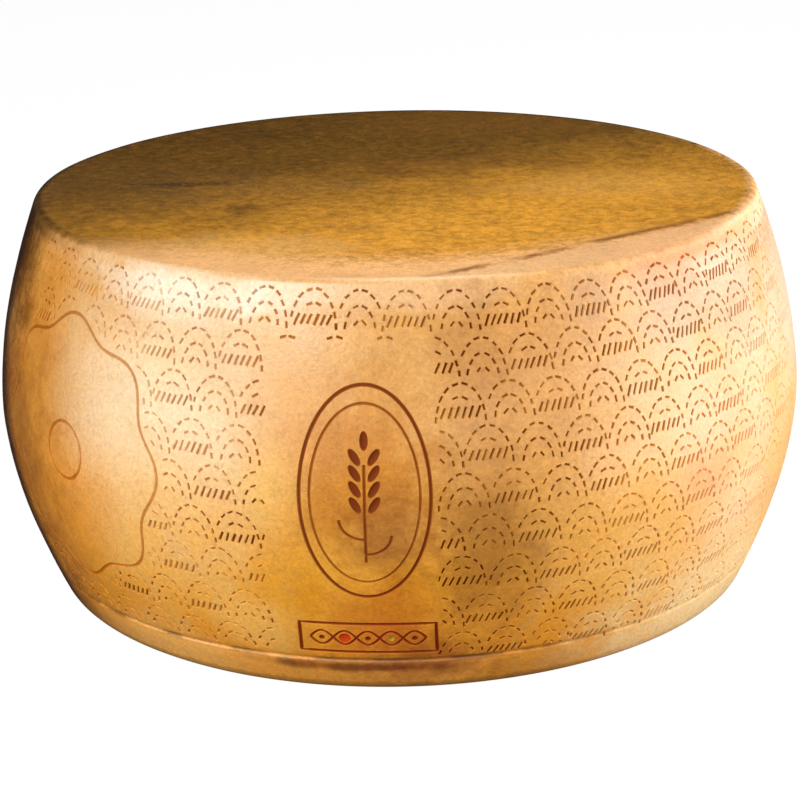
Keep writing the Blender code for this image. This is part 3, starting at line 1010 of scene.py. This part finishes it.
def faceColour(tree, at, clouds, uneven, spread, front):
    look = faceLook
    # painted shade: the faces darken towards the back and the left
    darkest, more = look["tone"]
    tone = scaled(tree, fadeBetween(tree, spread, *look["fade"]), more, darkest)
    least, weights = look["blotch"]
    face = shaded(tree, linear(look["colour"]), times(tree, tone, broken(tree, least, clouds, weights)))
    for x, y, halfX, halfY, colour, strength in smudges.values():
        share = nearSpot(tree, at["across"], at["along"], (x, halfX, y, halfY), uneven)
        if max(colour) < 128:  # the dark ones are speckled
            share = times(tree, share, fadeBetween(tree, clouds["fine"], *look["speckle"]))
        face = tinted(tree, face, colour, share, strength)
    # a painted highlight on the face's outer band, at the front only
    outer = fadeBetween(tree, broken(tree, at["reach"], clouds, look["rimUneven"]), *look["rimFade"])
    return tinted(tree, face, look["rim"], outer, times(tree, front, look["rimShare"]))


def faceShare(tree, at, clouds, front):  # 1 on the two faces and 0 on the side
    look = faceLook
    below = maths(tree, "SUBTRACT", barrel["height"] - look["brinkDrop"], at["height"])
    brink = scaled(tree, front, look["brinkFront"], scaled(tree, below, look["brinkSteep"], at["reach"]))
    upper = fadeBetween(tree, broken(tree, brink, clouds, look["brinkUneven"]), *look["brinkFade"])
    low = maths(tree, "LESS_THAN", at["height"], look["underHeight"])
    return maths(tree, "MAXIMUM", upper, times(tree, low, fadeBetween(tree, at["reach"], *look["underFade"])))


def withCrease(tree, at, clouds, side, face, onFace):
    look = creaseLook
    away = {0: at["place"], 1: (math.sin(flatRim["azimuth"]), -math.cos(flatRim["azimuth"]), 0)}
    past = addNode(tree, "VectorMath", away, operation="DOT_PRODUCT").outputs["Value"]
    past = maths(tree, "SUBTRACT", past, flatRim["crease"] + look["shift"])
    past = broken(tree, past, clouds, look["uneven"])
    kept = fadeBetween(tree, past, *look["fade"])
    colour = blendColour(tree, times(tree, onFace, kept), side, face)
    gone = maths(tree, "SUBTRACT", 1.0, kept)
    colour = tinted(tree, colour, look["wedge"], gone, onFace, look["wedgeShare"])
    # painted shade along the crease
    line = fadeBetween(tree, maths(tree, "ABSOLUTE", past), look["width"], 0.0)
    breaks = fadeBetween(tree, clouds["middle"], *look["breaks"])
    return tinted(tree, colour, look["colour"], line, onFace, breaks, look["share"])


def withRim(tree, at, clouds, colour, spread, front):
    look = rimLook
    gap = maths(tree, "SUBTRACT", at["reach"], look["reach"])
    drop = maths(tree, "SUBTRACT", at["height"], look["height"])
    away = maths(tree, "SQRT", scaled(tree, gap, gap, times(tree, drop, drop)))
    onRim = fadeBetween(tree, away, *look["fade"])
    breaks = fadeBetween(tree, clouds["small"], *look["breaks"])
    # the paler rounding: wear all round, and a painted highlight at the right and front
    least, right, more = look["shares"]
    lit = scaled(tree, fadeBetween(tree, at["across"], *look["rightFade"]), right, least)
    colour = tinted(tree, colour, look["wearAndPaintedLight"], onRim, breaks, scaled(tree, front, more, lit))
    # painted shade along the far side of the rounding
    outer = fadeBetween(tree, at["reach"], *look["farReach"])
    high = fadeBetween(tree, at["height"], *look["farHeight"])
    back = fadeBetween(tree, spread, *look["farSide"])
    return tinted(tree, colour, look["far"], outer, high, back, look["farShare"])


def rindGroup():  # the look of bare rind, shared by the rind and by every mark pressed in it
    group = bpy.data.node_groups.new("rindSurface", "ShaderNodeTree")
    group.interface.new_socket("Polish", in_out="INPUT", socket_type="NodeSocketFloat")
    for name in ("Color", "Roughness", "Coat", "Height"):
        kind = "NodeSocketColor" if name == "Color" else "NodeSocketFloat"
        group.interface.new_socket(name, in_out="OUTPUT", socket_type=kind)
    polish = group.nodes.new("NodeGroupInput").outputs["Polish"]
    place = addNode(group, "TexCoord").outputs["Object"]
    across, along, height = addNode(group, "SeparateXYZ", {0: place}).outputs
    back = times(group, along, -1.0)
    flat = addNode(group, "CombineXYZ", {0: across, 1: along}).outputs[0]
    reach = addNode(group, "VectorMath", {0: flat}, operation="LENGTH").outputs["Value"]
    at = {"place": place, "across": across, "along": along, "height": height, "reach": reach}
    at["azimuth"] = maths(group, "ARCTAN2", across, back)
    clouds = {name: cloud(group, place, *values) for name, values in toneClouds.items()}
    least, weights = patchEdge["uneven"]
    uneven = broken(group, least, clouds, weights)

    spread = scaled(group, across, faceLook["lean"], back)
    spread = scaled(group, maths(group, "SUBTRACT", clouds["middle"], 0.5), faceLook["uneven"], spread)
    front = fadeBetween(group, along, *faceLook["frontFade"])
    side, dullShadedEdge = sideColour(group, at, clouds, uneven)
    face = faceColour(group, at, clouds, uneven, spread, front)
    onFace = faceShare(group, at, clouds, front)
    colour = withCrease(group, at, clouds, side, face, onFace)
    colour = withRim(group, at, clouds, colour, spread, front)
    fleck = fadeBetween(group, clouds["small"], *overall["fleckFade"])
    colour = tinted(group, colour, overall["fleck"], fleck, overall["fleckShare"])
    least, weights = overall["mottling"]
    colour = shaded(group, colour, broken(group, least, clouds, weights))

    dullRim = fadeBetween(group, height, *sheen["dullRimHeight"])
    dullRim = times(group, dullRim, fadeBetween(group, across, *sheen["dullRimAcross"]))
    dullRim = times(group, dullRim, maths(group, "SUBTRACT", 1.0, onFace))
    rough = scaled(group, onFace, sheen["faceRough"], sheen["rough"])
    rough = broken(group, rough, clouds, sheen["roughUneven"])
    rough = scaled(group, maths(group, "MAXIMUM", dullShadedEdge, dullRim), sheen["dullRough"], rough)
    bare = maths(group, "MAXIMUM", dullShadedEdge, onFace)
    bare = maths(group, "MAXIMUM", nearPatch(group, at, sheen["dry"], uneven), bare)
    coat = maths(group, "SUBTRACT", 1.0, bare, clamp=True)
    coat = times(group, coat, maths(group, "SUBTRACT", 1.0, dullRim), polish)
    rise = broken(group, 0.0, clouds, sheen["relief"])
    out = group.nodes.new("NodeGroupOutput")
    for name, value in (("Color", colour), ("Roughness", rough), ("Coat", coat), ("Height", rise)):
        group.links.new(value, out.inputs[name])
    return group


# how each kind of mark takes colour: bare at its lip and dark from this depth in mm
# Its colour is either a tint of the rind, which multiplies it, or its own.
markLook = {
    "pin": {"colour": (152, 98, 64), "way": "MULTIPLY", "from": 0.08, "to": 0.60},
    "seal": {"colour": (122, 52, 14), "way": "MIX", "from": 0.05, "to": 0.60},
    "frame": {"colour": (128, 44, 10), "way": "MIX", "from": 0.05, "to": 0.55},
    "medallion": {"colour": (204, 176, 142), "way": "MULTIPLY", "from": 0.05, "to": 0.50},
    "redSpot": {"colour": (200, 62, 18), "way": "MIX", "from": 0.0, "to": 0.20},
    "goldSpot": {"colour": (178, 150, 40), "way": "MIX", "from": 0.0, "to": 0.20},
}


def pressedGroup():  # how dark a mark is by its depth and its wear, shared by every kind of mark
    group = bpy.data.node_groups.new("pressedDark", "ShaderNodeTree")
    for name in ("Lip", "Full"):
        group.interface.new_socket(name, in_out="INPUT", socket_type="NodeSocketFloat")
    group.interface.new_socket("Share", in_out="OUTPUT", socket_type="NodeSocketFloat")
    given = group.nodes.new("NodeGroupInput").outputs
    pressed = addNode(group, "Attribute", attribute_name="pressed").outputs["Fac"]
    ink = addNode(group, "Attribute", attribute_name="ink").outputs["Fac"]
    share = times(group, fadeBetween(group, pressed, given["Lip"], given["Full"], smooth=False), ink)
    group.links.new(share, group.nodes.new("NodeGroupOutput").inputs["Share"])
    return group


def placeGroup(tree, name, makeGroup, inputs):  # a group in a material, with the material's own values
    node = tree.nodes.new("ShaderNodeGroup")
    node.node_tree = bpy.data.node_groups.get(name) or makeGroup()
    for socket, value in inputs.items():
        node.inputs[socket].default_value = value
    return node.outputs


def newMaterial(name, rough, specular, polish):  # a material with the shared look of the rind in it
    material = bpy.data.materials.new(name)
    material.use_nodes = True
    tree = material.node_tree
    shader = tree.nodes["Principled BSDF"]
    shader.inputs["Roughness"].default_value = rough
    shader.inputs["Specular IOR Level"].default_value = specular
    shader.inputs["Coat Roughness"].default_value = sheen["coatRough"]
    rind = placeGroup(tree, "rindSurface", rindGroup, {"Polish": polish})
    tree.links.new(rind["Color"], shader.inputs["Base Color"])
    bump = {"Height": rind["Height"], "Strength": sheen["bump"], "Distance": sheen["bumpHeight"]}
    tree.links.new(addNode(tree, "Bump", bump).outputs[0], shader.inputs["Normal"])
    return material, tree, shader, rind


def rindMaterial():
    material, tree, shader, rind = newMaterial("rind", sheen["rough"], sheen["specular"], sheen["polish"])
    tree.links.new(rind["Roughness"], shader.inputs["Roughness"])
    tree.links.new(rind["Coat"], shader.inputs["Coat Weight"])
    return material


def markMaterial(name):
    look = markLook[name]
    material, tree, shader, rind = newMaterial(name, sheen["markRough"], sheen["markSpecular"], 0.0)
    share = placeGroup(tree, "pressedDark", pressedGroup, {"Lip": look["from"], "Full": look["to"]})["Share"]
    colour = blendColour(tree, share, rind["Color"], linear(look["colour"]), look["way"])
    tree.links.new(colour, shader.inputs["Base Color"])
    return material


# the camera stands where the photo was taken from
photoView = {
    "place": (0, -1.313, 0.5217),
    "pitch": 0.319,
    "roll": 0.0226,
    "yaw": 0.0009,
    "sensor": 36,
    "focalShare": 3.0805,  # its lens, as a share of the sensor
    "shift": 0.0031,
}


def setCamera():
    data = bpy.data.cameras.new("photoCamera")
    data.sensor_width = photoView["sensor"]
    data.lens = photoView["sensor"] * photoView["focalShare"]
    data.shift_x = photoView["shift"]
    camera = bpy.data.objects.new("photoCamera", data)
    bpy.context.scene.collection.objects.link(camera)
    yaw = Matrix.Rotation(photoView["yaw"], 4, "Z")
    pitch = Matrix.Rotation(math.pi / 2 - photoView["pitch"], 4, "X")
    roll = Matrix.Rotation(-photoView["roll"], 4, "Z")
    camera.matrix_world = Matrix.Translation(photoView["place"]) @ yaw @ pitch @ roll
    bpy.context.scene.camera = camera


# soft lights, turned to the wheel's middle: azimuth and rise in degrees, distance, width, height and watts
wheelMiddle = 0.11
lights = {
    "leftKey": (-44, 20, 1.6, 0.60, 0.60, 3.4),
    "leftHigh": (-30, 30, 1.6, 0.60, 0.50, 13.0),
    "leftLow": (-30, 1, 1.1, 0.60, 0.20, 0.9),
    "leftFarLow": (-60, 1, 1.1, 0.60, 0.20, 1.9),
    "front": (0, 6, 1.9, 1.80, 0.38, 6.4),
    "rightFront": (42, 9, 1.6, 0.90, 0.40, 2.4),
    "rightFill": (72, 9, 1.6, 0.90, 0.40, 5.0),
    "rightHigh": (70, 28, 1.6, 0.60, 0.50, 5.3),
    "rightBack": (110, 20, 1.6, 0.90, 0.60, 23.7),
    "rightLow": (75, 1, 1.1, 0.60, 0.20, 2.0),
    "rightFloor": (66, -7, 0.6, 0.50, 0.05, 0.6),
    "overTop": (18, 74, 0.355, 0.20, 0.20, 0.45),
}


def setLights():
    for name, (azimuth, rise, far, wide, tall, watts) in lights.items():
        data = bpy.data.lights.new(name, "AREA")
        data.shape = "RECTANGLE"
        data.size, data.size_y, data.energy = wide, tall, watts
        light = bpy.data.objects.new(name, data)
        bpy.context.scene.collection.objects.link(light)
        azimuth, rise = math.radians(azimuth), math.radians(rise)
        level = far * math.cos(rise)
        away = Vector((level * math.sin(azimuth), -level * math.cos(azimuth), far * math.sin(rise)))
        light.location = away + Vector((0, 0, wheelMiddle))
        light.rotation_euler = away.to_track_quat("Z", "Y").to_euler()


# a pale floor that runs out of sight, and a pale sky that shows white and lights softly
stage = {
    "floorSize": 30,
    "floorColour": (0.06, 0.06, 0.06, 1),
    "floorRough": 0.9,
    "floorGlow": 0.97,  # as the camera sees it
    "white": (1, 1, 1, 1),
    "skySeen": 1.0,
    "skyLight": 0.02,
}


def setStage():
    bpy.ops.object.select_all(action="DESELECT")
    bpy.ops.mesh.primitive_plane_add(size=stage["floorSize"])
    floor = bpy.context.object
    floor.name = "studioFloor"
    paint = bpy.data.materials.new("studioFloor")
    paint.use_nodes = True
    shader = paint.node_tree.nodes["Principled BSDF"]
    shader.inputs["Base Color"].default_value = stage["floorColour"]
    shader.inputs["Roughness"].default_value = stage["floorRough"]
    shader.inputs["Emission Color"].default_value = stage["white"]
    seen = addNode(paint.node_tree, "LightPath").outputs["Is Camera Ray"]
    glow = maths(paint.node_tree, "MULTIPLY", seen, stage["floorGlow"])
    paint.node_tree.links.new(glow, shader.inputs["Emission Strength"])
    floor.data.materials.append(paint)
    world = bpy.data.worlds.new("studio")
    bpy.context.scene.world = world
    world.use_nodes = True
    tree = world.node_tree
    seen = addNode(tree, "LightPath").outputs["Is Camera Ray"]
    strength = scaled(tree, seen, stage["skySeen"] - stage["skyLight"], stage["skyLight"])
    tree.links.new(strength, tree.nodes["Background"].inputs["Strength"])
    tree.nodes["Background"].inputs["Color"].default_value = stage["white"]
    bpy.context.scene.view_settings.view_transform = "Standard"


setCamera()
setStage()
setLights()
wheel = makeWheel()
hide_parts("wheel")
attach(wheel, "root")
print("wheel dressed")
